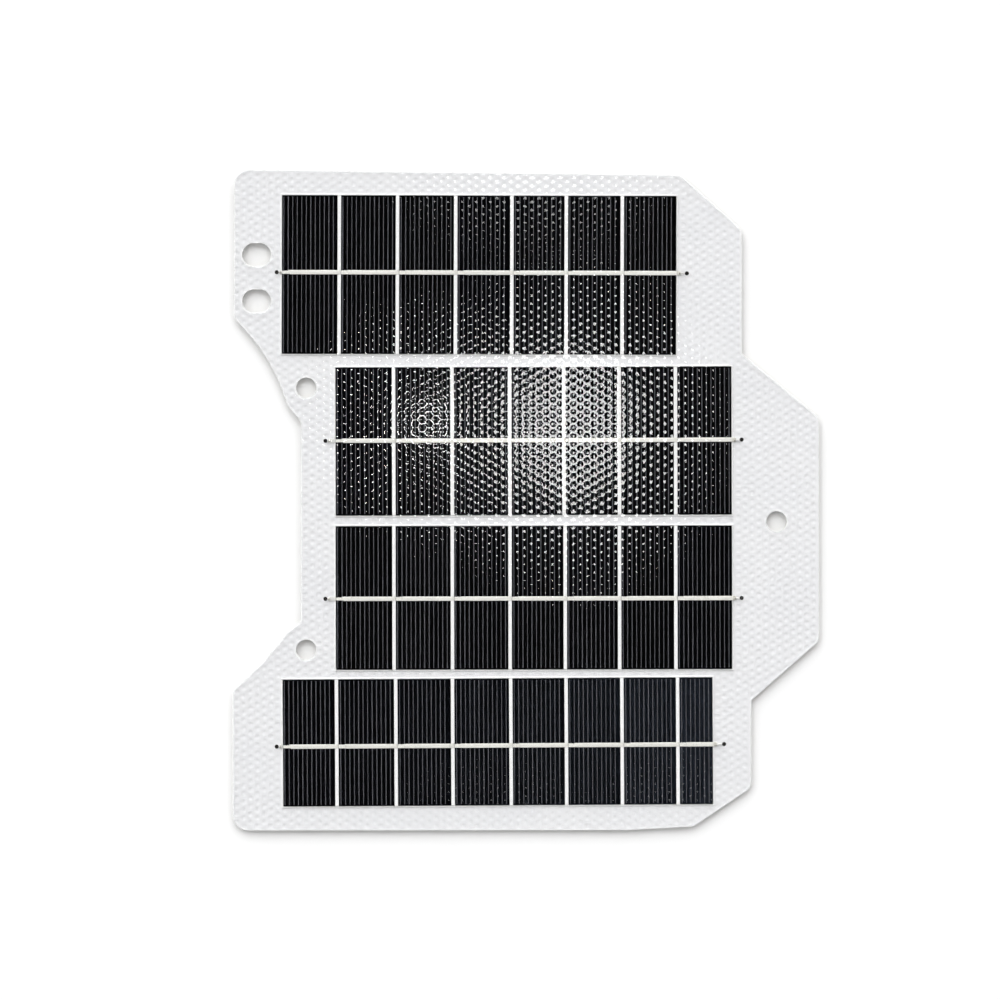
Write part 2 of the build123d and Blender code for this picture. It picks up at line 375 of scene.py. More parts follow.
class Nodes:
    """A cleared node tree of a material or a world."""

    def __init__(self, owner):
        owner.use_nodes = True
        self.tree = owner.node_tree
        self.tree.nodes.clear()

    def add(self, kind, **settings):
        node = self.tree.nodes.new(kind)
        for name, value in settings.items():
            setattr(node, name, value)
        return node

    def give(self, socket, value):
        """Links a node's input to a socket, or sets it to a value."""
        if isinstance(value, bpy.types.NodeSocket):
            self.tree.links.new(value, socket)
        else:
            socket.default_value = value

    def feed(self, node, **sockets):
        """Gives a node's inputs by name; an underscore in a name stands for a space."""
        for name, value in sockets.items():
            self.give(node.inputs[name.replace("_", " ")], value)
        return node

    def maths(self, operation, a, b=0.0, clamp=False):
        node = self.add("ShaderNodeMath", operation=operation, use_clamp=clamp)
        self.give(node.inputs[0], a)
        self.give(node.inputs[1], b)
        return node.outputs["Value"]


class Finish(Nodes):
    """A node material, with short calls for the nodes that the finishes share."""

    def __init__(self, name):
        self.material = bpy.data.materials.new(name)
        super().__init__(self.material)
        self.where = self.add("ShaderNodeTexCoord").outputs["Object"]

    def stretched(self, *scale):
        mapping = self.feed(self.add("ShaderNodeMapping"), Vector=self.where, Scale=scale)
        return mapping.outputs["Vector"]

    def noise(self, size, detail=3.0, where=None):
        """Noise whose lumps are about size mm across."""
        node = self.add("ShaderNodeTexNoise")
        self.feed(node, Vector=where or self.where, Scale=1 / (size * MM), Detail=detail)
        return node.outputs["Fac"]

    def bands(self, size, direction):
        node = self.add("ShaderNodeTexWave", wave_type="BANDS", bands_direction=direction)
        self.feed(node, Vector=self.where, Scale=0.05 / (size * MM), Distortion=0.6, Detail=1.0)
        return node.outputs["Fac"]

    def ramp(self, value, *stops):
        """A colour ramp through (place, colour) stops."""
        node = self.feed(self.add("ShaderNodeValToRGB"), Fac=value)
        elements = node.color_ramp.elements
        while len(elements) < len(stops):
            elements.new(0.5)
        for element, (place, colour) in zip(elements, stops):
            element.position = place
            element.color = (*colour, 1.0)
        return node.outputs["Color"]

    def span(self, value, low, high, to_low=0.0, to_high=1.0):
        node = self.feed(self.add("ShaderNodeMapRange"), Value=value)
        self.feed(node, From_Min=low, From_Max=high, To_Min=to_low, To_Max=to_high)
        return node.outputs["Result"]

    def blend(self, share, a, b):
        """Colour a turning into colour b as share goes from 0 to 1."""
        node = self.add("ShaderNodeMix", data_type="RGBA")
        for index, value in ((0, share), (6, a), (7, b)):
            self.give(node.inputs[index], (*value, 1.0) if isinstance(value, tuple) else value)
        return node.outputs[2]

    def bump(self, height, depth, under=None):
        """A bump of the given depth in mm, on top of another one."""
        node = self.feed(self.add("ShaderNodeBump"), Height=height, Strength=1.0, Distance=depth * MM)
        if under is not None:
            self.feed(node, Normal=under)
        return node.outputs["Normal"]

    def to_dimple(self):
        """The distance in metres to the middle of the nearest dimple of the film's honeycomb."""
        nearest = None
        for column in (0, 1):
            x = (DIMPLE_AT[0] + column * COLUMN_PITCH) * MM
            y = (DIMPLE_AT[1] + column * DIMPLE_PITCH / 2) * MM
            moved = self.vector_maths("SUBTRACT", self.where, (x, y, 0))
            reach = (COLUMN_PITCH * MM, DIMPLE_PITCH / 2 * MM, 1)
            wrapped = self.vector_maths("WRAP", moved, reach, tuple(-r for r in reach))
            nearest = self.nearer(nearest, wrapped)
        return nearest

    def to_places(self, places):
        """The distance in metres, seen from above, to the nearest of some (x, y) places in mm."""
        nearest = None
        for x, y in places:
            moved = self.vector_maths("SUBTRACT", self.where, (x * MM, y * MM, 0))
            nearest = self.nearer(nearest, moved)
        return nearest

    def nearer(self, nearest, vector):
        """The lesser of a distance, or None, and a vector's length seen from above."""
        flat = self.vector_maths("MULTIPLY", vector, (1, 1, 0))
        length = self.feed(self.add("ShaderNodeVectorMath", operation="LENGTH"), Vector=flat)
        distance = length.outputs["Value"]
        return distance if nearest is None else self.maths("MINIMUM", nearest, distance)

    def vector_maths(self, operation, *values):
        node = self.add("ShaderNodeVectorMath", operation=operation)
        for socket, value in zip(node.inputs, values):
            self.give(socket, value)
        return node.outputs["Vector"]

    def up(self):
        """How far a face looks up or down, from 0 on a side wall to 1 on a flat face."""
        split = self.add("ShaderNodeSeparateXYZ")
        self.tree.links.new(self.add("ShaderNodeNewGeometry").outputs["True Normal"], split.inputs[0])
        return self.maths("ABSOLUTE", split.outputs["Z"])

    def output(self, shader):
        """Makes a shader node's only output the surface."""
        surface = self.add("ShaderNodeOutputMaterial").inputs["Surface"]
        self.tree.links.new(shader.outputs[0], surface)
        return self.material

    def principled(self, **sockets):
        return self.output(self.feed(self.add("ShaderNodeBsdfPrincipled"), **sockets))

    def mixed(self, share, first, second):
        """A surface of the first shader where share is 0 and the second where it is 1."""
        mix = self.add("ShaderNodeMixShader")
        for socket, value in zip(mix.inputs, (share, first.outputs[0], second.outputs[0])):
            self.tree.links.new(value, socket)
        return self.output(mix)


def film_finish():
    """The clear, glossy film: what lies behind shows through, and the surface mirrors the lights."""
    f = Finish("embossed_film")
    haze = f.noise(9, 4)
    tint = f.blend(haze, (0.972, 0.976, 0.980), (0.990, 0.990, 0.988))
    through = f.feed(f.add("ShaderNodeBsdfTransparent"), Color=tint)
    gloss = f.add("ShaderNodeBsdfGlossy", distribution="BECKMANN")
    f.feed(gloss, Color=(1, 1, 1, 1), Roughness=FILM_ROUGHNESS)
    mirror = f.feed(f.add("ShaderNodeFresnel"), IOR=FILM_INDEX)
    outside = f.maths("SUBTRACT", 1.0, f.add("ShaderNodeNewGeometry").outputs["Backfacing"])
    return f.mixed(f.maths("MULTIPLY", mirror.outputs[0], outside), through, gloss)


def clear_finish(name):
    """A clear face with a trace of milkiness, in faint clouds."""
    f = Finish(name)
    milk = f.span(f.noise(6, 3), 0.3, 0.7, MILKINESS * 0.6, MILKINESS * 1.4)
    body = f.feed(f.add("ShaderNodeBsdfDiffuse"), Color=(0.93, 0.93, 0.91, 1))
    through = f.feed(f.add("ShaderNodeBsdfTransparent"), Color=(1, 1, 1, 1))
    return f.mixed(milk, through, body)


def cut_edge_finish(name, alpha):
    """Where the clear layers are punched through: frosted, with fine vertical tear marks."""
    f = Finish(name)
    marks = f.noise(0.12, 3, f.stretched(1, 1, 0.2))
    colour = f.ramp(marks, (0.3, (0.74, 0.75, 0.74)), (0.7, (0.88, 0.88, 0.87)))
    return f.principled(Base_Color=colour, Roughness=0.45, Alpha=alpha, Normal=f.bump(marks, 0.02))


def mottled(name, size, detail, stops, relief, rough, **sockets):
    """A finish whose colours drift with noise. Its relief is (depth,) or (size, detail, depth)."""
    f = Finish(name)
    drift = f.noise(size, detail)
    *own, depth = relief
    bump = f.bump(f.noise(*own) if own else drift, depth)
    if isinstance(rough, tuple):
        rough = f.span(drift, *rough)
    return f.principled(Base_Color=f.ramp(drift, *stops), Roughness=rough, Normal=bump, **sockets)


def silicon_finish(row, column):
    """Antireflective silicon, near black; each cell differs a little, as sorted wafers do."""
    f = Finish(f"silicon_row{row}_col{column}")
    shade = 0.8 + 0.5 * rng.random()
    blue = 1.25 + 0.35 * rng.random()
    cast = BLUE_CAST * (column / BLUE_COLUMN) ** BLUE_CAST_POWER * (row == BLUE_ROW)
    dark = cast + 0.0010 * shade * np.array([1.0, 1.0, blue])
    light = cast + 0.0020 * shade * np.array([1.0, 1.03, blue])
    clouds = f.noise(7, 4, f.stretched(1, 0.35, 1))
    return f.principled(
        Base_Color=f.ramp(clouds, (0.3, dark), (0.7, light)), Specular_IOR_Level=0.01,
        Roughness=f.span(clouds, 0.2, 0.8, 0.42, 0.55), Normal=f.bump(f.noise(0.05, 2), 0.004),
    )


def finger_finish():
    """Screen-printed silver in thin lines, fired matt grey."""
    stops = (0.3, (0.066, 0.068, 0.078)), (0.7, (0.098, 0.100, 0.112))
    return mottled("finger_silver", 0.9, 4, stops, (0.08, 2, 0.01), 0.6, Metallic=0.2)


def strip_finish():
    """The cell's wide printed strip, cream grey where no ribbon covers it."""
    stops = (0.25, (0.66, 0.65, 0.60)), (0.6, (0.92, 0.91, 0.86))
    return mottled("busbar_silver", 0.35, 4, stops, (0.1, 2, 0.01), 0.6, Metallic=0.15)


def ribbon_finish():
    """Solder-coated copper ribbon: cream white, satin, with long flow marks."""
    f = Finish("tinned_ribbon")
    flow = f.noise(0.5, 4, f.stretched(0.12, 1, 1))
    spots = f.noise(0.8, 3)
    base = f.ramp(flow, (0.25, (0.80, 0.785, 0.735)), (0.7, (0.93, 0.92, 0.87)))
    colour = f.blend(f.span(spots, 0.62, 0.75), base, (0.70, 0.69, 0.65))
    return f.principled(
        Base_Color=colour, Roughness=f.span(flow, 0.2, 0.8, 0.45, 0.65), Metallic=0.25,
        Normal=f.bump(flow, 0.02),
    )


def tail_finish(name, dark, middle, light):
    """A ribbon's bare end beyond a cell, stained by soldering; the three colours are its stains."""
    stops = (0.25, dark), (0.5, middle), (0.75, light)
    return mottled(name, 0.45, 4, stops, (0.05,), 0.5, Metallic=0.25)


def solder_finish():
    """Dull solder with specks of flux."""
    stops = (0.28, (0.26, 0.25, 0.20)), (0.5, (0.52, 0.51, 0.46)), (0.75, (0.72, 0.71, 0.67))
    rough = (0.2, 0.8, 0.35, 0.6)
    return mottled("dull_solder", 0.35, 4, stops, (0.15, 3, 0.04), rough, Metallic=0.5)


def wire_finish():
    """Tinned wire, dulled, and painted near black over its hole: flux, and painted shade down the
    hole.
    """
    f = Finish("tinned_wire")
    streaks = f.noise(0.2, 3, f.stretched(0.2, 1, 1))
    tinned = f.ramp(streaks, (0.3, (0.66, 0.65, 0.62)), (0.7, (0.82, 0.81, 0.78)))
    black, clean = WIRE_BLACK
    holes = [(points.min(axis=0) + points.max(axis=0))[:2] / 2 for points in islands(WIRE_HOLES)]
    away = f.span(f.to_places(holes), black * MM, clean * MM)
    # painted shade: near black over the hole, standing for the hole's dark depth
    colour = f.blend(away, (0.010, 0.009, 0.008), tinned)
    return f.principled(Base_Color=colour, Roughness=0.45, Metallic=0.3)


def flux_and_hole_shade_finish():
    """Burnt solder flux, satin brown-black; so dark that it also paints the shade down the wire
    holes.
    """
    # painted shade: these near-black stops also stand for the shade down the holes
    stops = (0.3, (0.006, 0.005, 0.004)), (0.7, (0.030, 0.026, 0.020))
    return mottled("burnt_flux_and_hole_shade", 0.3, 3, stops, (0.05,), 0.5, Specular_IOR_Level=0.3)


def bead_finish():
    """Encapsulant gone milky where it was squeezed out beside the cells."""
    stops = (0.3, (0.90, 0.90, 0.89)), (0.6, (0.97, 0.97, 0.965))
    return mottled("milky_encapsulant", 1.5, 4, stops, (0.03,), 0.55)


def pad_finish():
    """Hot-tinned copper pad: bright, with slow ripples."""
    stops = (0.3, (0.62, 0.61, 0.58)), (0.7, (0.80, 0.79, 0.76))
    rough = (0.3, 0.7, 0.22, 0.38)
    return mottled("tinned_pad", 2.2, 3, stops, (0.8, 3, 0.03), rough, Metallic=1.0)


def board_finish():
    """White-coated glass-fibre board: a faint weave and honeycomb, and olive edges."""
    f = Finish("white_board")
    weave = f.maths("MULTIPLY", f.bands(0.42, "X"), f.bands(0.42, "Y"))
    clouds = f.noise(30, 4)
    white = f.blend(clouds, (0.790, 0.793, 0.810), (0.850, 0.848, 0.853))
    white = f.blend(f.span(weave, 0.0, 1.0, 0.0, 0.06), white, (0.70, 0.70, 0.70))
    fibres = f.noise(0.25, 3, f.stretched(1, 1, 4))
    core = f.ramp(fibres, (0.3, (0.10, 0.095, 0.06)), (0.7, (0.30, 0.28, 0.19)))
    colour = f.blend(f.span(f.up(), 0.4, 0.6), core, white)
    honeycomb = f.span(f.to_dimple(), DIMPLE_RADII[1] * MM, DIMPLE_RADII[3] * MM)
    relief = f.bump(honeycomb, PRINT_THROUGH, f.bump(weave, 0.01))
    return f.principled(Base_Color=colour, Roughness=0.6, Normal=relief)


def rear_film_finish():
    """White polyester film, satin, with a fine pressed grain and a few faint scuffs."""
    f = Finish("white_rear_film")
    clouds = f.noise(25, 4)
    white = f.blend(clouds, (0.80, 0.80, 0.795), (0.86, 0.86, 0.855))
    scuffs = f.span(f.noise(0.7, 5, f.stretched(0.05, 1, 1)), 0.66, 0.74, 0.0, 0.25)
    colour = f.blend(scuffs, white, (0.68, 0.68, 0.67))
    return f.principled(
        Base_Color=colour, Roughness=f.span(clouds, 0.2, 0.8, 0.36, 0.48),
        Normal=f.bump(f.noise(0.35, 3), 0.02),
    )


def floor_finish():
    f = Finish("studio_floor")
    colour = f.blend(f.noise(40, 3), (0.925, 0.925, 0.925), (0.94, 0.94, 0.94))
    return f.principled(Base_Color=colour, Roughness=0.9, Specular_IOR_Level=0.0)


# ======== the front film ========

def dimple_profile():
    """Radii in mm with the slope there in degrees and the height below the land in mm."""
    radii = np.linspace(0, DIMPLE_RADII[-1], PROFILE_POINTS)
    slopes = np.interp(radii, DIMPLE_RADII, DIMPLE_SLOPES)
    rises = np.tan(np.radians(slopes))
    steps = (rises[1:] + rises[:-1]) / 2 * np.diff(radii)
    heights = np.concatenate([[0], np.cumsum(steps)])
    return radii, slopes, heights - heights[-1]


def emboss(points, top):
    """The film's height and unit normal at points of its front face."""
    radii, slopes, heights = dimple_profile()
    xy = np.asarray(points, float) - DIMPLE_AT
    best = np.full(len(xy), np.inf)
    offset = np.zeros_like(xy)
    nearest_column = np.floor(xy[:, 0] / COLUMN_PITCH)
    for column in (nearest_column, nearest_column + 1):
        lift = (column % 2) * DIMPLE_PITCH / 2
        row = np.round((xy[:, 1] - lift) / DIMPLE_PITCH)
        to = xy - np.stack([column * COLUMN_PITCH, row * DIMPLE_PITCH + lift], axis=1)
        length = np.linalg.norm(to, axis=1)
        nearer = length < best
        best = np.where(nearer, length, best)
        offset = np.where(nearer[:, None], to, offset)
    lean = np.radians(np.interp(best, radii, slopes))
    way = offset / np.maximum(best, 1e-9)[:, None]
    normals = np.column_stack([-way * np.sin(lean)[:, None], np.cos(lean)])
    return top + np.interp(best, radii, heights), normals


def hexagon():
    """The corners and mid-edges of the lattice's hexagonal cell, from the +X corner round."""
    c, p = COLUMN_PITCH, DIMPLE_PITCH
    quarter = [(2 * c / 3, 0), (c / 2, p / 4), (c / 3, p / 2), (0, p / 2)]
    half = quarter + [(-x, y) for x, y in quarter[-2::-1]]
    return np.array(half + [(x, -y) for x, y in half[-2:0:-1]])


def hexagons(centres):
    return (centres[:, None, :] + hexagon()).reshape(-1, 2)


def circles(centres, radius):
    angles = np.arange(RING_SIDES) * 2 * pi / RING_SIDES
    circle = np.stack([np.cos(angles), np.sin(angles)], axis=1)
    return (centres[:, None, :] + radius * circle).reshape(-1, 2)


def well_inside(points, loops):
    """Which points lie inside the loops and further than the border from them."""
    return (crossings(points, loops) % 2 == 1) & (loop_distance(points, loops) > BORDER)


def whole_cells(loops):
    """The centres of the dimples whose hexagon lies well inside the film."""
    low, high = np.concatenate(loops).min(axis=0), np.concatenate(loops).max(axis=0)
    centres = []
    first = int((low[0] - DIMPLE_AT[0]) / COLUMN_PITCH) - 1
    last = int((high[0] - DIMPLE_AT[0]) / COLUMN_PITCH) + 1
    for column in range(first, last + 1):
        x = DIMPLE_AT[0] + column * COLUMN_PITCH
        base = DIMPLE_AT[1] + (column % 2) * DIMPLE_PITCH / 2
        bottom = int((low[1] - base) / DIMPLE_PITCH) - 1
        top = int((high[1] - base) / DIMPLE_PITCH) + 1
        centres += [(x, base + row * DIMPLE_PITCH) for row in range(bottom, top + 1)]
    centres = np.array(centres)
    good = well_inside(hexagons(centres), loops)
    return centres, good.reshape(len(centres), -1).all(axis=1)


def dimple_meshes(inner):
    """Rings of points round each whole dimple, from its hexagon in, with the faces between them."""
    rim = hexagons(inner)
    kinds = np.unique(np.round(rim, SAME_DIGITS), axis=0, return_index=True, return_inverse=True)
    first, index = kinds[1:]
    points, rings, start = [rim[first]], [index.reshape(len(inner), -1)], len(first)
    for radius in RING_RADII:
        points.append(circles(inner, radius))
        rings.append(start + np.arange(len(inner) * RING_SIDES).reshape(len(inner), -1))
        start += len(inner) * RING_SIDES
    points.append(inner)
    middles = start + np.arange(len(inner))
    faces = []
    for outer, within in zip(rings, rings[1:]):
        ahead = np.roll(outer, -1, 1), np.roll(within, -1, 1)
        faces.append(np.stack([outer, *ahead, within], axis=-1).reshape(-1, 4))
    last = rings[-1]
    fan = [last, np.roll(last, -1, 1), np.repeat(middles[:, None], RING_SIDES, 1)]
    faces.append(np.stack(fan, axis=-1).reshape(-1, 3))
    return np.concatenate(points), faces, rings[0]


def cut_dimple_points(partial, loops):
    """Points of the rings of the dimples that the film's edges cut, where they lie on the film."""
    points = [partial, hexagons(partial)] + [circles(partial, radius) for radius in RING_RADII]
    points = np.unique(np.round(np.concatenate(points), SAME_DIGITS), axis=0)
    return points[well_inside(points, loops)]


def front_film(materials):
    """The film: whole dimples, a triangulated border, a rounded edge, walls and a flat rear."""
    edge_loops = outline_loops("front_film")
    loops = [inset(loop, EDGE_ROUND) for loop in edge_loops]
    low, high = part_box("front_film")
    bottom, top = low.z / MM, high.z / MM
    centres, whole = whole_cells(loops)
    dimple_points, faces, rims = dimple_meshes(centres[whole])

    # the border between the whole dimples and the rounded edge
    sides = np.stack([rims, np.roll(rims, -1, 1)], axis=-1).reshape(-1, 2)
    pairs, count = np.unique(np.sort(sides, axis=1), axis=0, return_counts=True)
    rim_edges = pairs[count == 1]
    used = np.unique(rim_edges)
    rim_loops = chained(rim_edges, dimple_points)
    loose = cut_dimple_points(centres[~whole], loops)
    shared = {tuple(p) for p in np.round(dimple_points[:rims.max() + 1], SAME_DIGITS)}
    loose = np.array([p for p in loose if tuple(p) not in shared])
    loose = loose[crossings(loose, rim_loops) % 2 == 0]
    inner_points, edge_points = np.concatenate(loops), np.concatenate(edge_loops)
    ahead = np.array(ring_edges([len(loop) for loop in loops]))
    place = {int(v): len(inner_points) + i for i, v in enumerate(used)}
    edges = [tuple(pair) for pair in ahead.tolist()]
    edges += [(place[int(a)], place[int(b)]) for a, b in rim_edges]
    border_points = np.concatenate([inner_points, dimple_points[used], loose])
    border = triangles(border_points, edges, loops + rim_loops)
    inner_index = len(dimple_points) + np.arange(len(inner_points))
    loose_index = inner_index[-1] + 1 + np.arange(len(loose))
    border = np.concatenate([inner_index, used, loose_index])[border]
    flat = np.concatenate([dimple_points, inner_points, loose])
    heights, normals = emboss(flat, top)
    normals[:rims.max() + 1] = (0, 0, 1)

    # the rounded edge, the side walls and the rear face
    out = -np.concatenate([left_of(loop)[0] for loop in edge_loops])
    level = np.zeros(len(out))
    upper_index = len(flat) + np.arange(len(out))
    lower_index = upper_index + len(out)
    points = np.concatenate([
        np.column_stack([flat, heights]),
        np.column_stack([edge_points, level + top - EDGE_DROP]),
        np.column_stack([edge_points, level + bottom]),
    ])
    lean = radians(EDGE_LEAN)
    normals = np.concatenate([
        normals, np.column_stack([out * sin(lean), level + cos(lean)]), np.column_stack([out, level]),
    ])
    a, b = ahead.T
    rounded = np.stack([upper_index[a], upper_index[b], inner_index[b], inner_index[a]], axis=1)
    walls = np.stack([lower_index[a], lower_index[b], upper_index[b], upper_index[a]], axis=1)
    rear = lower_index[triangles(edge_points, edges[:len(ahead)], edge_loops)][:, ::-1]
    faces += [border, rounded]
    corner_normals = [normals[f.ravel()] for f in faces]
    corner_normals += [normals[lower_index[ahead[:, (0, 1, 1, 0)]]].reshape(-1, 3)]
    corner_normals += [np.tile((0, 0, -1.0), (rear.size, 1))]
    slots = [np.zeros(sum(len(f) for f in faces[:-1])), np.ones(len(rounded) + len(walls))]
    slots.append(np.full(len(rear), 2))
    mesh = array_mesh(
        "embossed_front_film", points, faces + [walls, rear],
        np.concatenate(corner_normals), np.concatenate(slots),
    )
    return make_object(mesh, materials, "front_film", "front_film")


def chained(edges, points):
    """Closed loops of points from unordered edges."""
    links = {}
    for a, b in edges:
        links.setdefault(int(a), []).append(int(b))
        links.setdefault(int(b), []).append(int(a))
    unused = {tuple(sorted((int(a), int(b)))) for a, b in edges}
    loops = []
    while unused:
        start, at = next(iter(sorted(unused)))
        unused.discard((start, at))
        loop = [start]
        while at != start:
            loop.append(at)
            onward = [n for n in links[at] if tuple(sorted((at, n))) in unused]
            unused.discard(tuple(sorted((at, onward[0]))))
            at = onward[0]
        loops.append(points[np.array(loop)])
    return loops


# ======== the clear soft layers ========

def row_boxes():
    """The box round each row of cells in mm, widened to take in its wire holes and tails."""
    boxes = []
    for number in ROW_NUMBERS:
        ends = np.array([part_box(n) for n in NODES if n.startswith(f"cell_row{number}_")]) / MM
        boxes.append((ends[:, 0].min(axis=0) - ROW_SURROUND, ends[:, 1].max(axis=0) + ROW_SURROUND))
    return boxes


def soft_layer(node, materials):
    """A clear layer, drawn in a little from everything it touches; its outer walls are frosted."""
    boxes = row_boxes()
    mesh = welded(node)
    mesh.normal_update()
    moves = [(v, v.normal * min(v.calc_shell_factor(), 2.0) * CLEAR_SHRINK * MM) for v in mesh.verts]
    for vert, move in moves:
        vert.co -= move
    mesh.normal_update()
    for face in mesh.faces:
        x, y = face.calc_center_median().xy / MM
        near_row = any(a[0] < x < b[0] and a[1] < y < b[1] for a, b in boxes)
        face.material_index = int(abs(face.normal.z) < 0.5 and not near_row)
        face.smooth = False
    clear = bpy.data.meshes.new(f"clear_{node}")
    mesh.to_mesh(clear)
    mesh.free()
    return make_object(clear, materials, "encapsulant", node)


# ======== rows, print and ribbons ========

class Row:
    """A row of cells with its own axes: u along the row from its first cell, v across it."""

    def __init__(self, number):
        self.number = number
        count = sum(n.startswith(f"cell_row{number}_") for n in NODES)
        self.cells = [f"cell_row{number}_col{i}" for i in range(1, count + 1)]
        first, last = (corner_points(n)[:, :2].mean(axis=0) for n in (self.cells[0], self.cells[-1]))
        self.along = (last - first) / np.linalg.norm(last - first)
        self.across = np.array([-self.along[1], self.along[0]])
        self.origin = np.zeros(2)
        ribbon = self.local(corner_points(f"tabbing_ribbons_row{number}"))
        middle = (ribbon[:, 1].min() + ribbon[:, 1].max()) / 2
        start = self.local(corner_points(self.cells[0]))[:, 0].min()
        self.origin = start * self.along + middle * self.across
        self.ribbon_w = ribbon[:, 1].max() - ribbon[:, 1].min()
        self.spans = []
        for name in self.cells:
            points = self.local(corner_points(name))
            self.spans.append((*points.min(axis=0), *points.max(axis=0)))

    def local(self, points):
        flat = points[:, :2] - self.origin
        return np.column_stack([flat @ self.along, flat @ self.across, points[:, 2]])

    def place(self, u, v, z):
        x, y = self.origin + u * self.along + v * self.across
        return (x, y, z)


def fingers(row, material):
    """The thin silver lines across each cell, each with a rounded top."""
    parts = []
    for u0, v0, _, u1, v1, z1 in row.spans:
        u = u0 + FINGER_FIRST + rng.uniform(-FINGER_SHIFT, FINGER_SHIFT)
        ends = (v0 + FINGER_MARGIN, v1 - FINGER_MARGIN)
        while u < u1 - FINGER_LAST:
            half = FINGER_W / 2 * rng.uniform(*FINGER_UNEVEN)
            top = half * FINGER_TOP
            section = [(-half, 0.0), (half, 0.0), (top, FINGER_H), (-top, FINGER_H)]
            parts.append(loft([[row.place(u - du, v, z1 + dz) for du, dz in section] for v in ends]))
            u += FINGER_PITCH
    return make_object(joined(f"fingers_row{row.number}", parts), [material], "silicon_cell")


def busbar_strips(row, material):
    """The printed strip, with ragged sides, that shows from each cell's left edge to its ribbon."""
    parts = []
    for u0, _, _, _, _, z1 in row.spans:
        half = row.ribbon_w / 2 - STRIP_INSET * (FIRST_STRIP_THINNER if not parts else 1)
        upper, lower = [], []
        for i in range(STRIP_STEPS + 1):
            u = u0 + STRIP_START + (STRIP_END - STRIP_START) * i / STRIP_STEPS
            upper.append((u, half + rng.uniform(*STRIP_UPPER)))
            lower.append((u, -half + rng.uniform(*STRIP_LOWER)))
        outline = lower + upper[::-1]
        parts.append(loft([[row.place(u, v, z) for u, v in outline] for z in (z1, z1 + STRIP_H)]))
    return make_object(joined(f"busbar_strips_row{row.number}", parts), [material], "silicon_cell")


def bead(row, start, end, width, z, height):
    """A crowned bead along the sheet, between two (u, v) points of the row."""
    run = np.subtract(end, start) / np.linalg.norm(np.subtract(end, start))
    side = np.array([-run[1], run[0]])
    return loft([
        [row.place(*(point - side * across * width), z + up * height) for across, up in BEAD_CROWN]
        for point in (start, end)
    ])


def beads(row, material):
    """The milky beads between the cells and round the row, parted where a ribbon passes."""
    u0, v0, z, _, v1, _ = row.spans[0]
    u1 = row.spans[-1][3]
    shift = BEAD_GAP + BEAD_W / 2
    gaps = [(a[3] + BEAD_GAP, b[0] - BEAD_GAP) for a, b in zip(row.spans, row.spans[1:])]
    upright = [((low + high) / 2, high - low, z, BEAD_H) for low, high in gaps]
    upright += [(u, BEAD_W, BOARD_TOP, EDGE_BEAD_H) for u in (u0 - shift, u1 + shift)]
    parts = []
    clear = row.ribbon_w / 2 + BEAD_GAP
    for u, *section in upright:
        parts.append(bead(row, (u, v0), (u, -clear), *section))
        parts.append(bead(row, (u, clear), (u, v1), *section))
    for v in (v0 - shift, v1 + shift):
        parts.append(bead(row, (u0 - BEAD_W, v), (u1 + BEAD_W, v), BEAD_W, BOARD_TOP, EDGE_BEAD_H))
    mesh = joined(f"encapsulant_beads_row{row.number}", parts)
    return make_object(mesh, [material], "encapsulant")


def flat_wire_section():
    """A rolled flat wire's section, 1 wide and 1 thick: flat faces, round edges, a slight crown."""
    wide, thick = SECTION_POWERS
    return [(signed_power(c, wide) / 2, signed_power(s, thick) / 2) for c, s in turns(SECTION_SIDES)]


def ribbon_body(row, points, step=RIBBON_STEP):
    """One ribbon along the solid that the frame holds, with soft bends and slightly uneven edges."""
    local = row.local(points)
    width, seed = row.ribbon_w, float(local[:, 0].min())
    thick = np.inf
    levels = []
    for u in np.unique(np.round(local[:, 0], 2)):
        z = local[np.abs(local[:, 0] - u) < SAME_STATION][:, 2]
        if np.ptp(z) > LEAST_THICKNESS:
            thick = min(thick, np.ptp(z))
            levels.append((u, (z.min() + z.max()) / 2))
    us, zs = np.array(levels).T
    start = local[np.abs(local[:, 0] - us[0]) < SAME_STATION]
    slanted = np.ptp(start[:, 1]) < width / 2
    stations = set(np.arange(us[0], us[-1], step)) | {us[-1]}
    stations |= {u + off for u in us[1:-1] for off in BEND_RINGS}
    rings, section = [], flat_wire_section()
    for u in sorted(s for s in stations if us[0] <= s <= us[-1]):
        softened = (u - BEND_SOFTENING, u, u + BEND_SOFTENING)
        z = np.mean([np.interp(at, us, zs) for at in softened])
        end = min(u - us[0], us[-1] - u)
        taper = END_WIDTH + (1 - END_WIDTH) * min(end / END_RUN, 1.0)
        lean = SLANT * max(0.0, 1 - (u - us[0]) / SLANT_RUN) if slanted else 0.0
        ring = []
        for across, up in section:
            wobble = abs(EDGE_WOBBLE * noise.noise(Vector((u * 0.9, across * 3, seed))))
            v = across * (width - EDGE_SLACK) * taper - copysign(wobble, across)
            ring.append(row.place(u + (0.5 - across) * lean, v, z + up * thick))
        rings.append(ring)
    return loft(rings)


def ribbons(row, tinned, tails):
    """The row's tabbing ribbons and its two end ribbons."""
    name = f"row{row.number}"
    bodies = [ribbon_body(row, points) for points in islands(f"tabbing_ribbons_{name}")]
    mesh = joined(f"solder_coated_ribbons_{name}", bodies, smooth=True)
    make_object(mesh, [tinned], "tinned_ribbon", f"tabbing_ribbons_{name}")
    first_edge, last_edge = row.spans[0][0], row.spans[-1][3]
    for side, start in TAIL_STARTS.items():
        node = f"{side}_end_ribbon_{name}"
        body = ribbon_body(row, corner_points(node), END_RIBBON_STEP)
        mesh = joined(f"solder_coated_{node}", [body], smooth=True)
        make_object(mesh, [tinned, tails[side]], "tinned_ribbon", node)
        for face in mesh.polygons:
            u = row.local(np.array([face.center / MM]))[0, 0]
            bare = u > last_edge + start if side == "right" else u < first_edge - start
            face.material_index = int(bare)


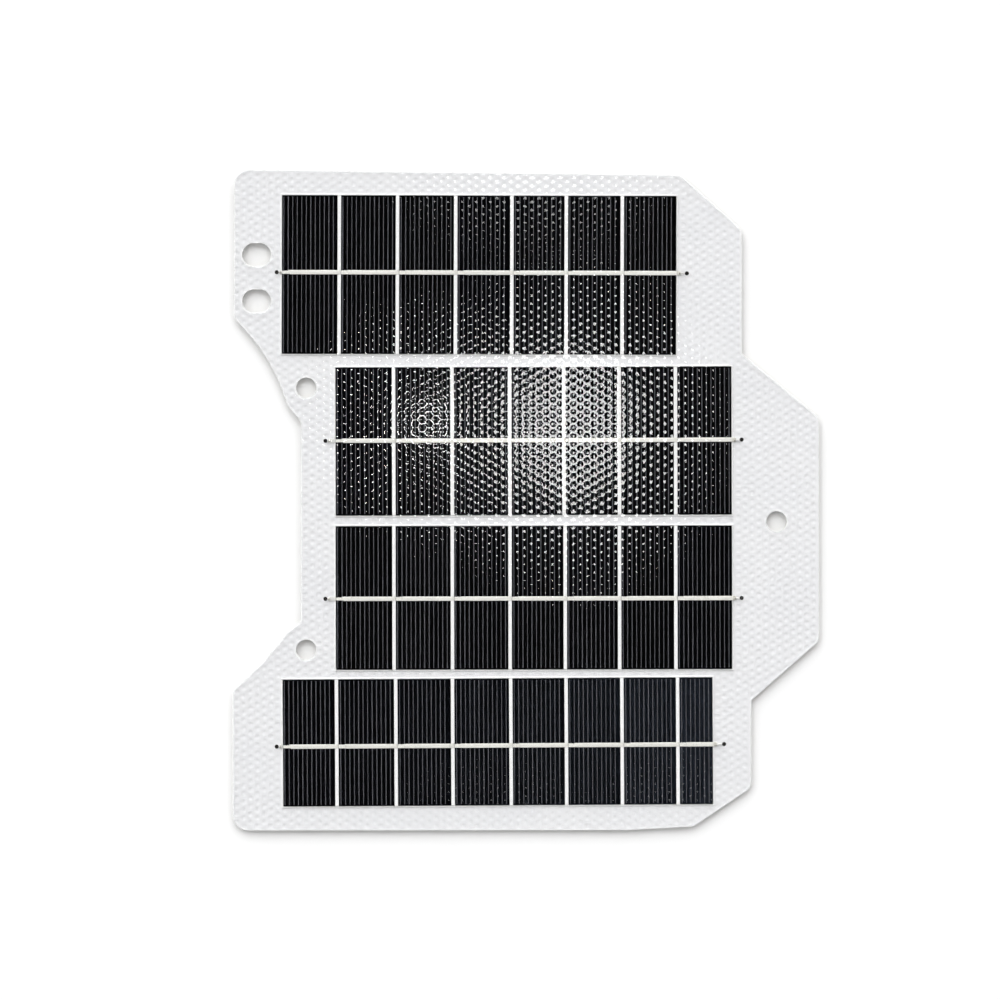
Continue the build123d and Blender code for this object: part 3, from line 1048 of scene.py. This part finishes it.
def lumpy_joint(points, seed):
    """A lump of solder over the box of a CAD joint: a domed form with a ragged foot."""
    low, high = points.min(axis=0), points.max(axis=0)
    middle, half = (low + high) / 2, (high - low) / 2
    rings = []
    for level in range(LUMP_LEVELS):
        t = level / (LUMP_LEVELS - 1)
        shrink = cos(t * pi / 2 * 0.92) ** 0.6
        z = low[2] + (high[2] - low[2]) * (LUMP_H * sin(t * pi / 2))
        ring = []
        for turn in turns(LUMP_SIDES):
            ragged = 1 + LUMP_RAGGED * noise.noise(Vector((turn[0] * 1.7, turn[1] * 1.7, seed + t)))
            x, y = (middle[i] + half[i] * LUMP_SPREAD[i] * shrink * ragged * turn[i] for i in (0, 1))
            ring.append((x, y, z))
        rings.append(ring)
    return loft(rings)


def solder_lumps(node, material):
    """Every joint of a CAD node as a lump of solder."""
    parts = [lumpy_joint(points, 3.7 * i) for i, points in enumerate(islands(node))]
    return make_object(joined(f"lumpy_{node}", parts, smooth=True), [material], "solder", node)


def hole_flux_and_shade(material):
    """The wires' lower joints, each under a ragged cup of near-black flux that fills its hole and
    paints the shade down it.
    """
    face = BOARD_TOP - DARK_CUP_BELOW
    parts = []
    for seed, points in enumerate(islands(WIRE_HOLES)):
        low, high = points.min(axis=0), points.max(axis=0)
        x, y = (low[:2] + high[:2]) / 2
        walls = (0.96, low[2]), (1.0, low[2] + 0.3), (1.0, face)
        cup = (0.8, face - 0.06), (0.4, face - 0.16)
        rings = []
        for share, z in walls + cup:
            ring = []
            for c, s in turns(DARK_CUP_SIDES):
                ragged = 1 + DARK_CUP_RAGGED * noise.noise(Vector((c * 2, s * 2, seed + z))) * (share < 1)
                ring.append((x + DARK_CUP_R * share * ragged * c, y + DARK_CUP_R * share * ragged * s, z))
            rings.append(ring)
        parts.append(loft(rings))
    mesh = joined(f"flux_and_shade_filled_{WIRE_HOLES}", parts, smooth=True)
    return make_object(mesh, [material], "solder", WIRE_HOLES)


# ======== the rear ========

def rear_wiring_tree():
    """The bus and output ribbons and pads, for finding how near a point is."""
    points, faces = [], []
    for name, node in NODES.items():
        if name.startswith(("bus_ribbon", "output_ribbon")):
            start = len(points)
            points += [v.co for v in node.data.vertices]
            faces += [[start + i for i in p.vertices] for p in node.data.polygons]
    return BVHTree.FromPolygons(points, faces)


def rear_film(materials):
    """The rear film, drawn up between the flat ribbons behind it, which show as low ridges."""
    loops = outline_loops("rear_film")
    tree = rear_wiring_tree()
    low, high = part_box("rear_film")
    ribbon_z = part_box("output_ribbon_positive")[0].z
    edge_points = np.concatenate(loops)
    every = round(REAR_COARSE / REAR_FINE)
    grid = []
    for x in np.arange(edge_points[:, 0].min(), edge_points[:, 0].max(), REAR_FINE):
        for y in np.arange(edge_points[:, 1].min(), edge_points[:, 1].max(), REAR_FINE):
            near = tree.find_nearest(Vector((x * MM, y * MM, ribbon_z)), REAR_NEAR * MM)[0]
            on_coarse = all(round(at / REAR_FINE) % every == 0 for at in (x, y))
            if near is not None or on_coarse:
                grid.append((x, y))
    grid = np.array(grid)
    flat = np.concatenate([edge_points, grid[well_inside(grid, loops)]])
    edges = ring_edges([len(loop) for loop in loops])
    faces = triangles(flat, edges, loops)
    drop = []
    for x, y in flat:
        gap = tree.find_nearest(Vector((x * MM, y * MM, ribbon_z)))[3] / MM
        t = min(gap / RIDGE_RUN, 1.0)
        drop.append(RIDGE_H * t * t * (3 - 2 * t))
    count = len(flat)
    outer = np.column_stack([flat, low.z / MM + np.array(drop)])
    inner = np.column_stack([edge_points, np.full(len(edge_points), high.z / MM)])
    upper = triangles(edge_points, edges, loops)
    ahead = np.array(edges)
    walls = np.stack([ahead[:, 0], ahead[:, 1], count + ahead[:, 1], count + ahead[:, 0]], axis=1)
    faces = [faces[:, ::-1], count + upper, walls]
    mesh = array_mesh("ridged_rear_film", np.concatenate([outer, inner]), faces)
    mesh.shade_smooth()
    mesh.set_sharp_from_angle(angle=radians(REAR_SHARP))
    return make_object(mesh, materials, "rear_film", "rear_film")


def tinned_pad(sign, material):
    """An output pad with its layer of tinning, domed towards the window."""
    node = f"output_pad_{sign}"
    low, high = (np.array(corner / MM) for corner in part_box(node))
    (x, y, _), (half_x, half_y, _) = (low + high) / 2, (high - low) / 2
    rings = []
    for drawn_in, z in [(0.0, high[2])] + [(drawn_in, low[2] + rise) for drawn_in, rise in PAD_RINGS]:
        ring = []
        for c, s in turns(PAD_SIDES, -1):
            swirl = noise.noise(Vector((c * 2, s * 2, drawn_in + PAD_SEEDS[sign])))
            ring.append((
                x + (half_x - drawn_in) * signed_power(c, PAD_CORNER),
                y + (half_y - drawn_in) * signed_power(s, PAD_CORNER),
                z + (PAD_RIPPLE * swirl if drawn_in else 0),
            ))
        rings.append(ring)
    mesh = joined(f"tinned_{node}", [loft(rings)], smooth=True)
    return make_object(mesh, [material], "output_pad", node)


# ======== studio ========

def camera():
    data = bpy.data.cameras.new("view")
    data.sensor_width = SENSOR
    data.lens = SENSOR * (VIEW_HEIGHT - CAD_BOX[1][2]) / FRAME_W
    data.clip_start, data.clip_end = CLIP
    eye = placed("view", data)
    eye.location = (VIEW_X, VIEW_Y, VIEW_HEIGHT)
    SCENE.camera = eye


def floor():
    half = FLOOR_SIZE / 2
    corners = [(-half, -half, 0), (half, -half, 0), (half, half, 0), (-half, half, 0)]
    mesh = bpy.data.meshes.new("studio_floor")
    mesh.from_pydata(corners, [], [(0, 1, 2, 3)])
    mesh.materials.append(floor_finish())
    piece = placed("studio_floor", mesh)
    piece.location.z = -FLOOR_BELOW


def softbox(name, radiance, x, y, width, depth, z):
    """An area light that looks straight down. Its strength is set by how bright it looks."""
    data = bpy.data.lights.new(name, "AREA")
    data.shape = "ELLIPSE"
    data.size, data.size_y = width, depth
    data.energy = radiance * pi * width * depth * pi / 4
    light = placed(name, data)
    light.location = (x, y, z)
    light.visible_camera = False


def world():
    """A dark patch overhead, and light walls that are brightest towards the top of the sheet."""
    SCENE.world = bpy.data.worlds.new("studio")
    w = Nodes(SCENE.world)
    where = w.add("ShaderNodeTexCoord").outputs["Generated"]
    split = w.feed(w.add("ShaderNodeSeparateXYZ"), Vector=where)
    fade = w.add("ShaderNodeMapRange", interpolation_type="SMOOTHSTEP")
    w.feed(fade, Value=split.outputs["Z"], From_Min=DARK_OVERHEAD[0], From_Max=DARK_OVERHEAD[1])
    towards = [w.maths("MULTIPLY", split.outputs[i], share) for i, share in enumerate(KEY_FROM)]
    share = w.maths("MULTIPLY", w.maths("ADD", w.maths("ADD", *towards), 1.0), 0.5, True)
    key = w.maths("MULTIPLY", w.maths("POWER", share, KEY_SPREAD), KEY_STRENGTH)
    strength = w.maths("MULTIPLY", w.maths("ADD", key, FILL_STRENGTH), fade.outputs["Result"])
    background = w.feed(w.add("ShaderNodeBackground"), Strength=strength)
    w.feed(w.add("ShaderNodeOutputWorld"), Surface=background.outputs[0])


def studio():
    camera()
    floor()
    world()
    for index, values in enumerate(SOFTBOXES):
        softbox(*values, VIEW_HEIGHT - index * MM)
    SCENE.view_settings.view_transform = "Standard"
    SCENE.cycles.transparent_max_bounces = CLEAR_FACES_CROSSED


# ======== assembly ========

def dress(names, material):
    """Gives CAD nodes a finish."""
    for name in names:
        slots = NODES[name].material_slots
        if not slots:
            NODES[name].data.materials.append(material)
        for slot in slots:
            slot.material = material


def build():
    edge = cut_edge_finish("cut_edge", CUT_ALPHA)
    clear = clear_finish("clear_encapsulant")
    pressed = cut_edge_finish("pressed_edge", PRESSED_ALPHA)
    front_film([film_finish(), pressed, clear_finish("film_rear")])
    for node in ("front_encapsulant", "middle_encapsulant", "rear_encapsulant"):
        soft_layer(node, [clear, edge])

    finger_silver, strip_silver = finger_finish(), strip_finish()
    milky, tinned = bead_finish(), ribbon_finish()
    pale = (0.68, 0.67, 0.64), (0.78, 0.775, 0.75), (0.86, 0.855, 0.84)
    stained = (0.54, 0.53, 0.45), (0.72, 0.71, 0.65), (0.84, 0.83, 0.79)
    tails = {"left": tail_finish("pale_tail", *pale), "right": tail_finish("stained_tail", *stained)}
    for number in ROW_NUMBERS:
        row = Row(number)
        for column, name in enumerate(row.cells, 1):
            dress([name], silicon_finish(number, column))
        fingers(row, finger_silver)
        busbar_strips(row, strip_silver)
        beads(row, milky)
        ribbons(row, tinned, tails)

    solder = solder_finish()
    solder_lumps("tail_solder_joints", solder)
    hole_flux_and_shade(flux_and_hole_shade_finish())
    dress(["left_lead_wires", "right_lead_wires"], wire_finish())
    dress([n for n in NODES if n.startswith(("bus_ribbon", "output_ribbon"))], tinned)
    dress(["core_board"], board_finish())
    rear_film([rear_film_finish()])
    pad = pad_finish()
    for sign in ("positive", "negative"):
        tinned_pad(sign, pad)


build()
studio()
